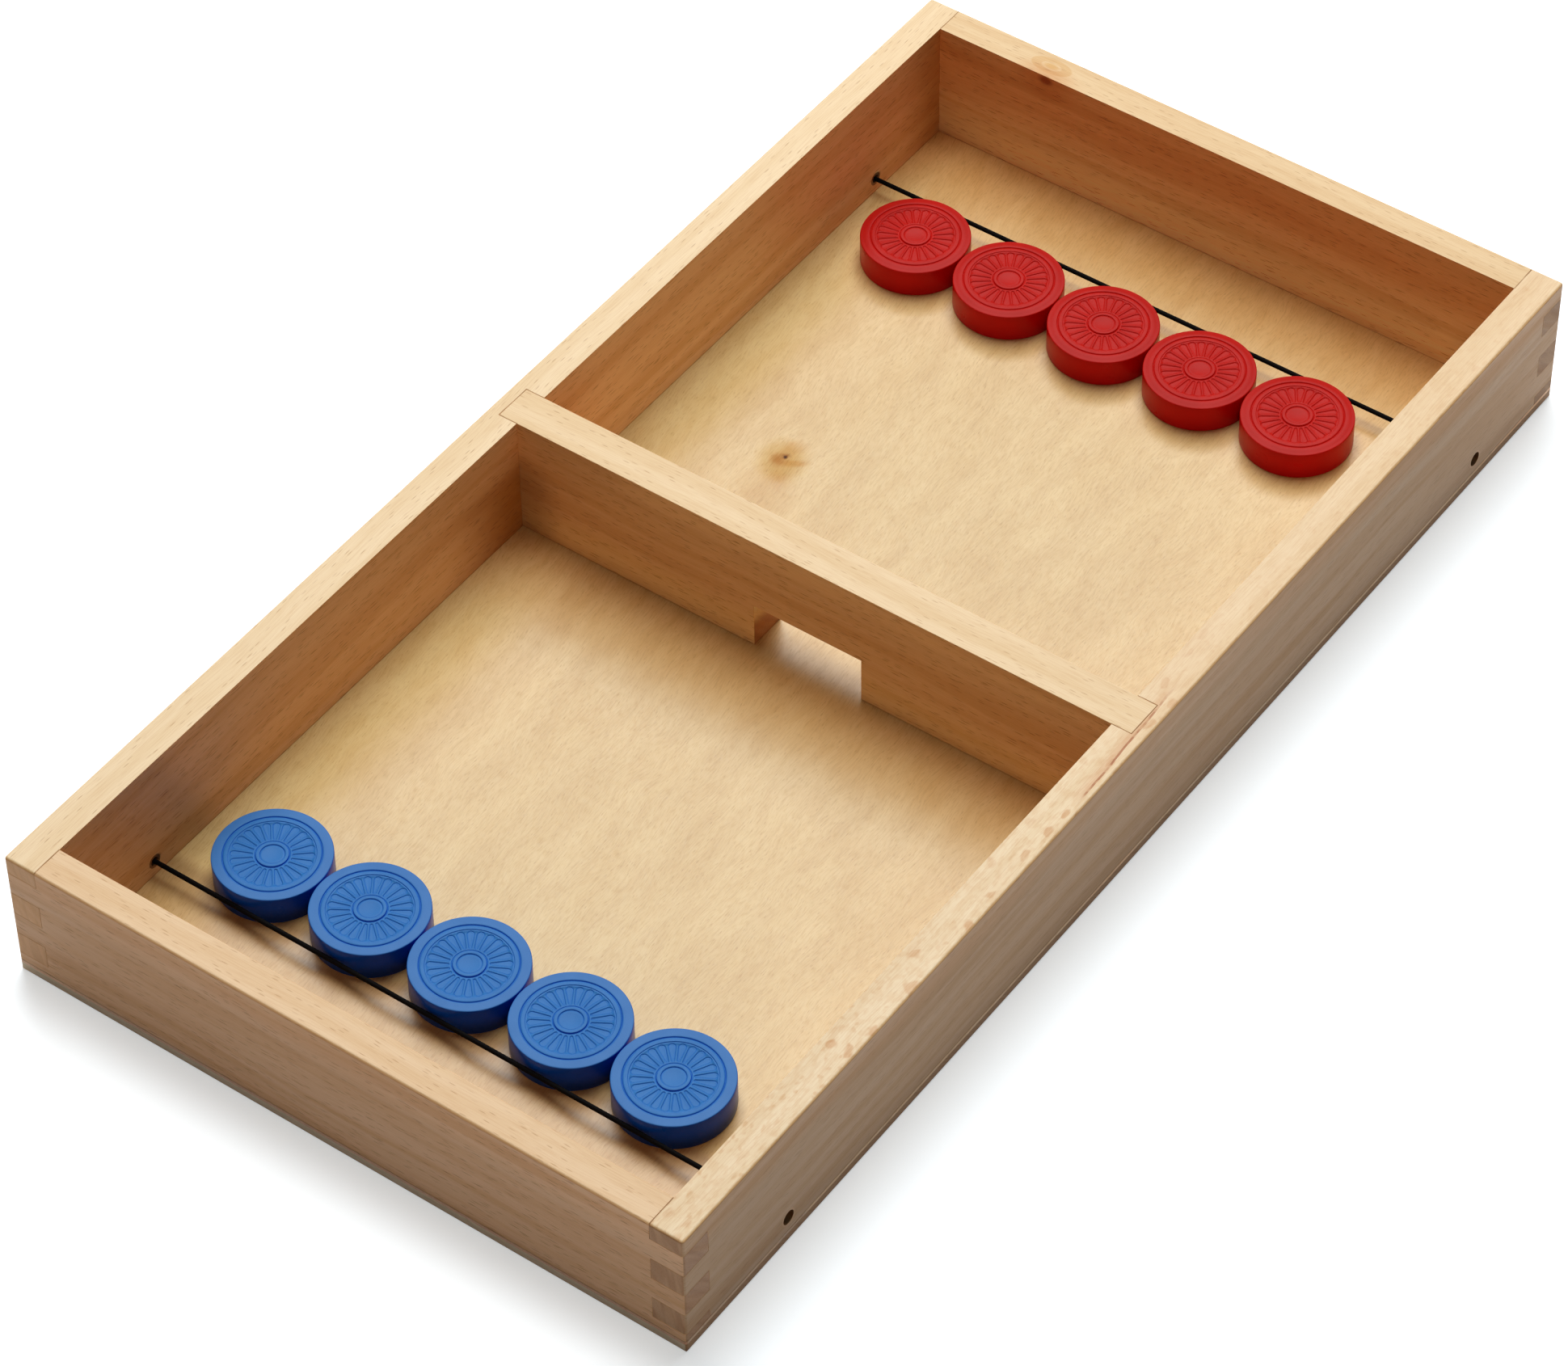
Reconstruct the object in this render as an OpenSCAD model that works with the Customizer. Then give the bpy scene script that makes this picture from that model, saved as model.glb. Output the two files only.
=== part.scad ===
// Sling puck board: a shallow beech frame on a thin birch plywood base, with a divider across
// the middle that has one low gate, a sling cord near each end, and five pucks a side.
// Millimetres. The origin is the middle of the underside, X runs across the board, Y along it
// and Z up. The near end, with the blue pucks, is at -Y, and the far end, with the red ones, at +Y.

/* [Frame] */
// Width of the board over its two long rails
board_w = 200; // [186:1:320]
// Length of the board over its two end rails
board_l = 386; // [300:1:560]
// Height of the rails above the plywood base
frame_h = 36.8; // [26:0.1:60]
// Thickness of the long rails and the end rails
rail_t = 9.4; // [8:0.1:10.5]
// Roundover on the frame's outer edges
edge_r = 0.8; // [0.5:0.1:2]

/* [Finger joints] */
// Height of the top finger, which belongs to the long rail
top_finger_h = 5.3; // [3:0.1:8]
// Height of each finger below the top one
finger_h = 7.15; // [5:0.05:10]
// The lowest finger is joined to the one above when it would be lower than this
least_finger_h = 1.5; // [1:0.1:2.5]

/* [Divider and gate] */
// Thickness of the divider
divider_t = 11.5; // [8:0.5:18]
// Depth of the housing in each long rail that takes an end of the divider
housing_depth = 5.7; // [3:0.1:6.5]
// Room at each side of a puck that goes through the gate
gate_side_room = 1.45; // [0.8:0.05:6]
// Room above a puck that goes through the gate
gate_top_room = 5.5; // [2:0.1:8]

/* [Plywood base] */
// Thickness of the plywood's top and bottom veneers
veneer_t = 0.9; // [0.6:0.1:1.6]
// Thickness of the plywood's core layer
core_t = 1.8; // [0.8:0.1:3]
// Rounding of the plywood's bottom edge
base_edge_r = 0.5; // [0.2:0.1:0.6]

/* [Sling cords] */
// Diameter of each elastic cord
cord_d = 1.3; // [1:0.1:1.8]
// Height of a cord's centre line above the playing floor
cord_h = 4.6; // [3.5:0.1:7]
// Room between a cord's centre line and the end rail, where a puck is drawn back
draw_room = 30.6; // [26:0.1:45]
// Diameter of the hole that a cord runs through
cord_hole_d = 2.4; // [2.2:0.1:2.6]
// Diameter of the wider hole outside, which hides the knot
knot_hole_d = 4; // [3.7:0.1:5]
// Depth of that wider hole
knot_hole_depth = 5.5; // [4:0.1:6.5]
// Diameter of the knot
knot_d = 3.4; // [3:0.1:3.6]

/* [Pucks] */
// Diameter of a puck
puck_d = 30.1; // [26:0.1:32]
// Thickness of a puck
puck_h = 8.5; // [7:0.1:11]
// Rounding of a puck's edges
puck_edge_r = 0.3; // [0.2:0.1:0.8]
// Gap between neighbouring pucks in a row
puck_gap = 0.3; // [0.2:0.1:0.6]
// Gap between a row of pucks and its cord
sling_gap = 0.2; // [0.2:0.1:0.6]
// Sideways place of the middle puck in each row
row_shift = -5.4; // [-6:0.1:6]

/* [Rosette on a puck] */
// Radius of the groove between the plain rim and the raised ring
ring_r = 12.2; // [11.9:0.1:12.3]
// Radius of the sunk field inside the raised ring
field_r = 10.9; // [10.7:0.1:11.2]
// Depth of the sunk field
field_depth = 0.2; // [0.15:0.05:0.5]
// Number of petals
petal_count = 24; // [18:1:26]
// Distance from the middle to the centre of a petal's round outer end
petal_out_r = 9.5; // [9.2:0.1:9.6]
// Distance from the middle to the centre of a petal's inner end
petal_in_r = 5.2; // [5:0.1:6]
// Width of a petal at its outer end
petal_wide = 1.85; // [1.4:0.05:1.9]
// Width of a petal at its inner end
petal_narrow = 0.7; // [0.4:0.05:0.8]
// Depth of a petal below the sunk field
petal_depth = 0.25; // [0.15:0.05:0.4]
// Radius of the hub in the middle
hub_r = 4.1; // [3.6:0.1:4.3]
// Radius of the hub's dish
dish_r = 3.1; // [2.4:0.1:3.3]
// Depth of the hub's dish
dish_depth = 0.35; // [0.2:0.05:0.5]

/* [Hidden] */

base_t = 2 * veneer_t + core_t;
board_h = base_t + frame_h;
inner_x = board_w / 2 - rail_t;
inner_y = board_l / 2 - rail_t;

// Finger joints: the bands are counted from the top, and the even ones belong to the long rails.
band_count = 1 + ceil((frame_h - top_finger_h - least_finger_h) / finger_h);
function band_top(i) = i == 0 ? frame_h : frame_h - top_finger_h - (i - 1) * finger_h;
function band_bottom(i) = i == band_count - 1 ? 0 : band_top(i + 1);

gate_w = puck_d + 2 * gate_side_room;
gate_h = puck_h + gate_top_room;

cord_y = inner_y - draw_room;
cord_z = base_t + cord_h;
knot_seat_x = board_w / 2 - knot_hole_depth;
// The knot's flat side is wider than the cord's hole by this much all round
knot_bearing = 0.3;

pucks_a_side = 5;
middle_puck = 3;
puck_pitch = puck_d + puck_gap;
row_y = cord_y - cord_d / 2 - sling_gap - puck_d / 2;
groove_r = 0.18;
// How each puck happens to be turned, in degrees
blue_turns = [3, 12, 6, 9, 9];
red_turns = [3, 1, 7, 0, 12];

// How far a cut runs past the face that it opens
over = 1;
$fn = 64;

beech = [0.90, 0.78, 0.60];
beech_end = [0.87, 0.74, 0.55];
birch = [0.89, 0.77, 0.59];
birch_core = [0.74, 0.60, 0.44];
black_elastic = [0.06, 0.05, 0.05];
blue_paint = [0.22, 0.45, 0.78];
red_paint = [0.78, 0.12, 0.13];

// Rectangle with its four corners rounded
module round_rect(w, l, r) {
    square([w - 2 * r, l], center = true);
    square([w, l - 2 * r], center = true);
    for (x = [-1, 1], y = [-1, 1])
        translate([x * (w / 2 - r), y * (l / 2 - r)])
            circle(r);
}

// Upright section standing on y = 0, with its two top corners rounded
module round_top(w, h, r) {
    translate([-w / 2, 0])
        square([w, h - r]);
    translate([-w / 2 + r, 0])
        square([w - 2 * r, h]);
    for (x = [-1, 1])
        translate([x * (w / 2 - r), h - r])
            circle(r);
}

// Block from z = 0 up, with rounded upright edges and rounded top edges
module eased_block(w, l, h, plan_r, top_r) {
    intersection() {
        linear_extrude(h)
            round_rect(w, l, plan_r);
        translate([0, l / 2 + over, 0])
            rotate([90, 0, 0])
                linear_extrude(l + 2 * over)
                    round_top(w, h, top_r);
        translate([-w / 2 - over, 0, 0])
            rotate([90, 0, 90])
                linear_extrude(w + 2 * over)
                    round_top(l, h, top_r);
    }
}

// Everything that the sanded frame may fill
module frame_space() {
    translate([0, 0, base_t])
        eased_block(board_w, board_l, frame_h, edge_r, edge_r);
}

// Cuts at the four corners in the finger bands with this first band, such as 0 for the even ones
module finger_cuts(first_band) {
    for (i = [first_band : 2 : band_count - 1], x = [-1, 1], y = [-1, 1])
        translate([x * (inner_x + (rail_t + over) / 2), y * (inner_y + (rail_t + over) / 2),
                   base_t + (band_top(i) + band_bottom(i)) / 2])
            cube([rail_t + over, rail_t + over, band_top(i) - band_bottom(i)], center = true);
}

// Holes for the two cords, with the wider mouth that hides each knot
module cord_holes(side) {
    for (y = [-1, 1])
        translate([0, y * cord_y, cord_z])
            rotate([0, side * 90, 0]) {
                translate([0, 0, inner_x - over])
                    cylinder(h = rail_t + 2 * over, d = cord_hole_d);
                translate([0, 0, knot_seat_x])
                    cylinder(h = knot_hole_depth + over, d = knot_hole_d);
            }
}

// Long rail: the even finger bands run out to the ends, and the divider is housed in its middle
module long_rail(side) {
    color(beech)
        difference() {
            intersection() {
                frame_space();
                translate([side * (inner_x + board_w / 2) / 2, 0, base_t + frame_h / 2])
                    cube([rail_t, board_l, frame_h], center = true);
            }
            finger_cuts(1);
            translate([side * inner_x, 0, base_t + frame_h / 2])
                cube([2 * housing_depth, divider_t, frame_h + 2 * over], center = true);
            cord_holes(side);
        }
}

// End rail: the odd finger bands run out through the long rails
module end_rail(side) {
    color(beech_end)
        difference() {
            intersection() {
                frame_space();
                translate([0, side * (inner_y + board_l / 2) / 2, base_t + frame_h / 2])
                    cube([board_w, rail_t, frame_h], center = true);
            }
            finger_cuts(0);
        }
}

module divider() {
    color(beech)
        difference() {
            translate([0, 0, base_t + frame_h / 2])
                cube([2 * (inner_x + housing_depth), divider_t, frame_h], center = true);
            translate([0, 0, base_t + (gate_h - over) / 2])
                cube([gate_w, divider_t + 2 * over, gate_h + over], center = true);
        }
}

// One flat layer of the plywood, flush with the frame outside
module ply_layer(z, t) {
    translate([0, 0, z])
        linear_extrude(t)
            round_rect(board_w, board_l, edge_r);
}

module base_top_veneer() {
    color(birch)
        ply_layer(veneer_t + core_t, veneer_t);
}

module base_core() {
    color(birch_core)
        ply_layer(veneer_t, core_t);
}

module base_bottom_veneer() {
    color(birch)
        translate([0, 0, veneer_t])
            mirror([0, 0, 1])
                eased_block(board_w, board_l, veneer_t, edge_r, base_edge_r);
}

// Taut cord, from the seat of one knot to the seat of the other
module sling_cord(side) {
    color(black_elastic)
        translate([-knot_seat_x, side * cord_y, cord_z])
            rotate([0, 90, 0])
                cylinder(h = 2 * knot_seat_x, d = cord_d, $fn = 24);
}

// Knot drawn flat against the step in its hole
module knot(side_x, side_y) {
    flat_r = cord_hole_d / 2 + knot_bearing;
    centre_out = sqrt(pow(knot_d / 2, 2) - pow(flat_r, 2));
    color(black_elastic)
        translate([side_x * knot_seat_x, side_y * cord_y, cord_z])
            rotate([0, side_x * 90, 0])
                intersection() {
                    translate([0, 0, centre_out])
                        sphere(d = knot_d, $fn = 32);
                    cylinder(h = 2 * knot_d, d = 2 * knot_d);
                }
}

// One sunk petal of the rosette, wide and round at its outer end
module petal() {
    translate([petal_out_r, 0])
        circle(d = petal_wide, $fn = 24);
    translate([petal_in_r, 0])
        circle(d = petal_narrow, $fn = 24);
    polygon([
        [petal_in_r, -petal_narrow / 2], [petal_out_r, -petal_wide / 2],
        [petal_out_r, petal_wide / 2], [petal_in_r, petal_narrow / 2]
    ]);
}

// Half section of a puck: plain rim, groove, raised ring, sunk field and dished hub
module puck_section() {
    dish_ball_r = (pow(dish_r, 2) + pow(dish_depth, 2)) / (2 * dish_depth);
    difference() {
        union() {
            translate([0, puck_edge_r])
                square([puck_d / 2, puck_h - 2 * puck_edge_r]);
            square([puck_d / 2 - puck_edge_r, puck_h]);
            for (y = [puck_edge_r, puck_h - puck_edge_r])
                translate([puck_d / 2 - puck_edge_r, y])
                    circle(puck_edge_r);
        }
        translate([hub_r, puck_h - field_depth])
            square([field_r - hub_r, field_depth + over]);
        translate([ring_r, puck_h])
            circle(groove_r, $fn = 24);
        translate([0, puck_h - dish_depth + dish_ball_r])
            circle(dish_ball_r, $fn = 128);
    }
}

// Puck number i of a row, counted from -X, turned by this angle
module puck(side, i, turn) {
    translate([row_shift + (i - middle_puck) * puck_pitch, side * row_y, base_t])
        rotate(turn)
            difference() {
                rotate_extrude()
                    puck_section();
                for (k = [0 : petal_count - 1])
                    rotate(k * 360 / petal_count)
                        translate([0, 0, puck_h - field_depth - petal_depth])
                            linear_extrude(petal_depth + over)
                                petal();
            }
}

module blue_puck(i) {
    color(blue_paint)
        puck(-1, i, blue_turns[i - 1]);
}

module red_puck(i) {
    color(red_paint)
        puck(1, i, red_turns[i - 1]);
}

long_rail(-1);  // left_rail
long_rail(1);  // right_rail
end_rail(-1);  // near_end_rail
end_rail(1);  // far_end_rail
divider();
base_top_veneer();
base_core();
base_bottom_veneer();
sling_cord(-1);  // near_cord
sling_cord(1);  // far_cord
knot(-1, -1);  // near_left_knot
knot(1, -1);  // near_right_knot
knot(-1, 1);  // far_left_knot
knot(1, 1);  // far_right_knot
for (i = [1 : pucks_a_side]) {
    blue_puck(i);
    red_puck(i);
}
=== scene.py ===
# Sling puck board: a finger-jointed beech tray on a thin birch plywood base, with a gated divider,
# an elastic cord across each end, and a row of five turned pucks in front of each cord.
# Metres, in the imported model's frame: X across the board, Y along it, Z up.
import math

import bmesh
import bpy
from mathutils import Matrix, Vector
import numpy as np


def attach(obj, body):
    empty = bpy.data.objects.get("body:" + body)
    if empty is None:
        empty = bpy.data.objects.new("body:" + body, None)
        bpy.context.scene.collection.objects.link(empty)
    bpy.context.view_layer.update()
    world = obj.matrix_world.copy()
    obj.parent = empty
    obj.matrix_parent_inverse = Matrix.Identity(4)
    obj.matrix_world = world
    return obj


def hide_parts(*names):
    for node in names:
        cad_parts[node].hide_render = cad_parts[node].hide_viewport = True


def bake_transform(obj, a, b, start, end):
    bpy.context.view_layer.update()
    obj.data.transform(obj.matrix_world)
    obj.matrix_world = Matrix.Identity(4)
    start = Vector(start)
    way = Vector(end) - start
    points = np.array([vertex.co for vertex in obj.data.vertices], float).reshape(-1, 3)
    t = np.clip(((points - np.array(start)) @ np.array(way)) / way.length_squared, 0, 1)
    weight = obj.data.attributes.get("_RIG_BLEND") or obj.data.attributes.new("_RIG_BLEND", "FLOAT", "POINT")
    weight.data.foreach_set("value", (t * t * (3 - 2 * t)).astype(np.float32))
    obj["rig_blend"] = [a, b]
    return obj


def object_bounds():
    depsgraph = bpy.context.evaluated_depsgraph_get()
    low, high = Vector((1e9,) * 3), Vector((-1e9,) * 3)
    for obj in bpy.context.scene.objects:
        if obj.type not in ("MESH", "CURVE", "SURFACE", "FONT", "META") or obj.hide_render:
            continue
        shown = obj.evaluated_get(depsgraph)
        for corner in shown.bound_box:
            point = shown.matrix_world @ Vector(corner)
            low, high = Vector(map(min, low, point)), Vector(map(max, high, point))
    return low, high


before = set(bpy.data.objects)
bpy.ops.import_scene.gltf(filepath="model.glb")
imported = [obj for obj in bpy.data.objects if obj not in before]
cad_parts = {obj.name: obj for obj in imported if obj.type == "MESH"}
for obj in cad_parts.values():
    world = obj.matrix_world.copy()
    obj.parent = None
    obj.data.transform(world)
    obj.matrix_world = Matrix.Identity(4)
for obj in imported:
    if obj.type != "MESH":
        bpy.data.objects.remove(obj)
cad_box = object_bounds()
mm = 0.001
scene = bpy.context.scene

# The camera looks down on the board from off its near right corner, a metre and a half away,
# through a long lens, and leans a little to one side.
azimuth = math.radians(36.312)
elevation = math.radians(46.546)
lean = math.radians(-0.805)
back = Vector((math.sin(azimuth) * math.cos(elevation), -math.cos(azimuth) * math.cos(elevation),
               math.sin(elevation)))
level_right = Vector((math.cos(azimuth), math.sin(azimuth), 0))
level_up = back.cross(level_right)
right = math.cos(lean) * level_right + math.sin(lean) * level_up
up = math.cos(lean) * level_up - math.sin(lean) * level_right
camera = bpy.data.objects.new("camera", bpy.data.cameras.new("camera"))
scene.collection.objects.link(camera)
camera.data.sensor_width = 36
camera.data.lens = 131.964
camera.data.clip_start = 0.05
to_left, to_foot, distance = 9.32 * mm, 3.70 * mm, 1457.4 * mm
camera.location = -to_left * right - to_foot * up + distance * back
camera.rotation_mode = "QUATERNION"
camera.rotation_quaternion = Matrix((right, up, back)).transposed().to_quaternion()
scene.camera = camera
scene.view_settings.view_transform = "Standard"

# The stage: a white table, a dim white room and one broad soft lamp, high up beyond the board's far
# left corner, which lights the tops and leaves the faces towards the camera in soft shade.
def node(tree, kind, sockets=None, **settings):
    made = tree.nodes.new(kind)
    for key, value in settings.items():
        setattr(made, key, value)
    for key, value in (sockets or {}).items():
        if isinstance(value, bpy.types.NodeSocket):
            tree.links.new(value, made.inputs[key])
        else:
            made.inputs[key].default_value = value
    return made


def blank_material(name):
    material = bpy.data.materials.new(name)
    material.use_nodes = True
    material.node_tree.nodes.clear()
    return material, material.node_tree


def sums(tree, operation, a, b=0.0, c=0.0):
    return node(tree, "ShaderNodeMath", {0: a, 1: b, 2: c}, operation=operation).outputs[0]


def graded(tree, value, low, high, out_low, out_high):
    """Turns a value from low to high smoothly into one from out_low to out_high"""
    return node(tree, "ShaderNodeMapRange", {"Value": value, "From Min": low, "From Max": high,
                                             "To Min": out_low, "To Max": out_high},
                interpolation_type="SMOOTHSTEP").outputs["Result"]


def mixed(tree, amount, a, b):
    return node(tree, "ShaderNodeMix", {"Factor": amount, "A": a + (1,), "B": b + (1,)},
                data_type="RGBA").outputs["Result"]


def axes_of(tree, vector):
    return node(tree, "ShaderNodeSeparateXYZ", {"Vector": vector}).outputs


def in_sight(tree):
    """1 for what the camera sees itself or in a reflection, 0 for what only lights the scene"""
    ray = node(tree, "ShaderNodeLightPath").outputs
    return sums(tree, "MAXIMUM", ray["Is Camera Ray"], ray["Is Glossy Ray"])


def painted_table():
    """White paint that stays white round the board's soft shadow: the camera also sees a light of its
    own in it, a little weaker beside the board than in front of its near end"""
    board_end = cad_box[0][1]
    shadow_end = board_end - 15 * mm
    beside, in_front = 0.50, 0.68
    material, tree = blank_material("white_table")
    seen = in_sight(tree)
    shade = mixed(tree, seen, (0.80, 0.80, 0.80), (0.86, 0.93, 0.98))
    matte = node(tree, "ShaderNodeBsdfDiffuse", {"Color": shade})
    y = axes_of(tree, node(tree, "ShaderNodeTexCoord").outputs["Object"])["Y"]
    glow = graded(tree, y, board_end, shadow_end, beside, in_front)
    lift = node(tree, "ShaderNodeEmission", {"Color": (0.98, 1, 1, 1), "Strength": glow})
    unlit = node(tree, "ShaderNodeBsdfDiffuse", {"Color": (0, 0, 0, 1)})
    lifted = node(tree, "ShaderNodeMixShader", {0: seen, 1: unlit.outputs[0], 2: lift.outputs[0]})
    summed = node(tree, "ShaderNodeAddShader", {0: matte.outputs[0], 1: lifted.outputs[0]})
    node(tree, "ShaderNodeOutputMaterial", {"Surface": summed.outputs[0]})
    return material


table_mesh = bpy.data.meshes.new("table")
table_mesh.from_pydata([(-4, -4, 0), (4, -4, 0), (4, 4, 0), (-4, 4, 0)], [], [(0, 1, 2, 3)])
table_mesh.materials.append(painted_table())
table = bpy.data.objects.new("table", table_mesh)
table.location.z = -0.2 * mm
scene.collection.objects.link(table)

world = bpy.data.worlds.new("room")
world.use_nodes = True
world.node_tree.nodes.clear()
dim, white = 0.07, 1.0
strength = graded(world.node_tree, in_sight(world.node_tree), 0.0, 1.0, dim, white)
room_light = node(world.node_tree, "ShaderNodeBackground", {"Color": (1, 1, 1, 1), "Strength": strength})
node(world.node_tree, "ShaderNodeOutputWorld", {"Surface": room_light.outputs[0]})
scene.world = world

lamp = bpy.data.objects.new("overhead_softbox", bpy.data.lights.new("overhead_softbox", "AREA"))
lamp.data.shape = "RECTANGLE"
lamp.data.size = 1.60
lamp.data.size_y = 2.05
lamp.data.energy = 60
lamp.location = Vector((-0.56, 0.92, 2.1))
lamp.rotation_mode = "QUATERNION"
lamp.rotation_quaternion = lamp.location.to_track_quat("Z", "Y")
scene.collection.objects.link(lamp)

# The two long rails: planed beech, 9.4 mm thick, with three fingers at each end that show as darker
# end grain in the board's end faces, a housing for the divider and a stepped hole for each cord.
board_w, board_l, board_h = 200 * mm, 386 * mm, 40.4 * mm
base_t = 3.6 * mm
rail_t = 9.4 * mm
inner_x, inner_y = board_w / 2 - rail_t, board_l / 2 - rail_t
sanded_r = 0.8 * mm
finger_tops = [board_h - t * mm for t in (0, 5.3, 12.45, 19.6, 26.75, 33.9)] + [base_t]
divider_t, housing_depth = 11.5 * mm, 5.7 * mm
cord_y, cord_z = 153.0 * mm, 8.2 * mm
cord_hole_r, knot_hole_r, knot_seat_x = 1.2 * mm, 2.0 * mm, 94.5 * mm


def new_piece(name, form, *materials):
    mesh = bpy.data.meshes.new(name)
    form.to_mesh(mesh)
    form.free()
    for material in materials:
        mesh.materials.append(material)
    piece = bpy.data.objects.new(name, mesh)
    scene.collection.objects.link(piece)
    return piece


def sawn(outline, place, low, high):
    """Saws a closed outline through, from low to high: place(a, b, c) puts its point at a, b and depth c"""
    form = bmesh.new()
    ends = [[form.verts.new(place(a, b, c)) for a, b in outline] for c in (low, high)]
    form.faces.new(ends[0])
    form.faces.new(reversed(ends[1]))
    for i in range(len(outline)):
        j = (i + 1) % len(outline)
        form.faces.new((ends[0][j], ends[0][i], ends[1][i], ends[1][j]))
    bmesh.ops.recalc_face_normals(form, faces=form.faces)
    return form


def block(low, high):
    low, high = Vector(low), Vector(high)
    return sawn([(low.x, low.y), (high.x, low.y), (high.x, high.y), (low.x, high.y)],
                lambda a, b, c: (a, b, c), low.z, high.z)


def worked(piece, form, operation):
    """Planes or drills the piece with a tool of this form"""
    tool = new_piece("tool", form)
    cut = piece.modifiers.new("cut", "BOOLEAN")
    cut.operation, cut.object, cut.solver = operation, tool, "EXACT"
    mesh = bpy.data.meshes.new_from_object(piece.evaluated_get(bpy.context.evaluated_depsgraph_get()))
    piece.modifiers.clear()
    mesh.name = piece.name
    old, piece.data = piece.data, mesh
    bpy.data.meshes.remove(old)
    bpy.data.objects.remove(tool)


def sanded_frame():
    """The whole frame's outside, with its upright corners and its top edges rounded by the sander"""
    form = block((-board_w / 2, -board_l / 2, base_t), (board_w / 2, board_l / 2, board_h))
    edges = [e for e in form.edges if any(v.co.z > board_h - mm for v in e.verts)]
    bmesh.ops.bevel(form, geom=edges, offset=sanded_r, segments=5, profile=0.5, affect="EDGES")
    return form


def ease(piece, width=0.15 * mm):
    """Takes the sharpness off every outside edge, and shades the flats flat"""
    form = bmesh.new()
    form.from_mesh(piece.data)
    bmesh.ops.remove_doubles(form, verts=form.verts, dist=1e-6)
    bmesh.ops.dissolve_limit(form, angle_limit=math.radians(0.5), verts=form.verts, edges=form.edges)
    edges = [e for e in form.edges
             if len(e.link_faces) == 2 and e.calc_face_angle_signed() > math.radians(40)]
    bmesh.ops.bevel(form, geom=edges, offset=width, segments=2, profile=0.5, affect="EDGES",
                    clamp_overlap=True)
    for face in form.faces:
        face.smooth = True
    form.to_mesh(piece.data)
    form.free()
    flat = piece.modifiers.new("flats", "WEIGHTED_NORMAL")
    flat.mode = "FACE_AREA"
    flat.weight = 90


def skinned(form, rows):
    """Lays faces between each row of points and the next, where a row of one point is a tip"""
    for a, b in zip(rows, rows[1:]):
        for k in range(max(len(a), len(b))):
            corners = [a[k % len(a)], b[k % len(b)], b[(k + 1) % len(b)], a[(k + 1) % len(a)]]
            form.faces.new(dict.fromkeys(corners))


def drill(side, y):
    """A stepped drill, in from a long rail's outer face"""
    form = bmesh.new()
    steps = [(0, inner_x - mm), (cord_hole_r, inner_x - mm), (cord_hole_r, knot_seat_x),
             (knot_hole_r, knot_seat_x), (knot_hole_r, board_w / 2 + mm), (0, board_w / 2 + mm)]
    rows = []
    around = 40
    for r, x in steps:
        angles = [2 * math.pi * k / around for k in range(1 if r == 0 else around)]
        rows.append([form.verts.new((side * x, y + r * math.cos(a), cord_z + r * math.sin(a)))
                     for a in angles])
    skinned(form, rows)
    bmesh.ops.recalc_face_normals(form, faces=form.faces)
    return form


def both(tree, *amounts):
    """The product of several amounts"""
    product = amounts[0]
    for amount in amounts[1:]:
        product = sums(tree, "MULTIPLY", product, amount)
    return product


def point(tree, x, y, z=0.0):
    return node(tree, "ShaderNodeCombineXYZ", {"X": x, "Y": y, "Z": z}).outputs[0]


def length_of(tree, vector):
    return node(tree, "ShaderNodeVectorMath", {0: vector}, operation="LENGTH").outputs["Value"]


def weighed(tree, vector, weights):
    return node(tree, "ShaderNodeVectorMath", {0: vector, 1: weights},
                operation="DOT_PRODUCT").outputs["Value"]


def in_millimetres(tree, place):
    return node(tree, "ShaderNodeVectorMath", {0: place, "Scale": 1000}, operation="SCALE").outputs[0]


def near(tree, value, middle, reach):
    """1 where a value lies within this reach of the middle, fading out in the reach's last third"""
    off = sums(tree, "ABSOLUTE", sums(tree, "SUBTRACT", value, middle))
    return graded(tree, off, reach * 0.67, reach, 1.0, 0.0)


def stained(tree, tone, amount, tint):
    return node(tree, "ShaderNodeMix", {"Factor": amount, "A": tone, "B": tint + (1,)},
                data_type="RGBA", blend_type="MULTIPLY").outputs["Result"]


def stretched(tree, flat, across, along, shift=0.0):
    """The flat coordinates, in steps of this many millimetres across and along the grain"""
    return node(tree, "ShaderNodeVectorMath", {0: flat, 1: (1 / across, 1 / along, 0), 2: (shift, shift, 0)},
                operation="MULTIPLY_ADD").outputs[0]


def clouds(tree, flat, across, along, detail=2.0, shift=0.0):
    return node(tree, "ShaderNodeTexNoise", {"Vector": stretched(tree, flat, across, along, shift),
                                             "Scale": 1.0, "Detail": detail},
                noise_dimensions="2D").outputs["Fac"]


def dashes(tree, flat, across, along, core, rim, rare, shift=0.0):
    """Short strokes along the grain, one to a cell, some of them left out: 1 in a stroke, 0 between"""
    cell = node(tree, "ShaderNodeTexVoronoi", {"Vector": stretched(tree, flat, across, along, shift),
                                               "Scale": 1.0}, voronoi_dimensions="2D")
    pick = node(tree, "ShaderNodeSeparateColor", {"Color": cell.outputs["Color"]}).outputs[0]
    return both(tree, graded(tree, cell.outputs["Distance"], core, rim, 1.0, 0.0),
                graded(tree, pick, rare, min(1.0, rare + 0.5), 0.0, 1.0))


def grain_plan(tree, place, grain, offset):
    """Flat coordinates in millimetres, across the grain and along it, which run on from a board's top
    down its sides and wander a little"""
    per_metre, down_sides = 1000, 1310
    cross, run = (per_metre, 0, down_sides), (0, per_metre, 0)
    if grain == "X":
        cross, run = (0, per_metre, down_sides), (per_metre, 0, 0)
    across = sums(tree, "ADD", weighed(tree, place, cross), offset[0])
    along = sums(tree, "ADD", weighed(tree, place, run), offset[1])
    flat = point(tree, across, along)
    drift = both(tree, clouds(tree, flat, 28, 75, 1.0), 5.0)
    return node(tree, "ShaderNodeVectorMath", {0: flat, 1: point(tree, drift, 0.0)},
                operation="ADD").outputs[0]


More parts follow.
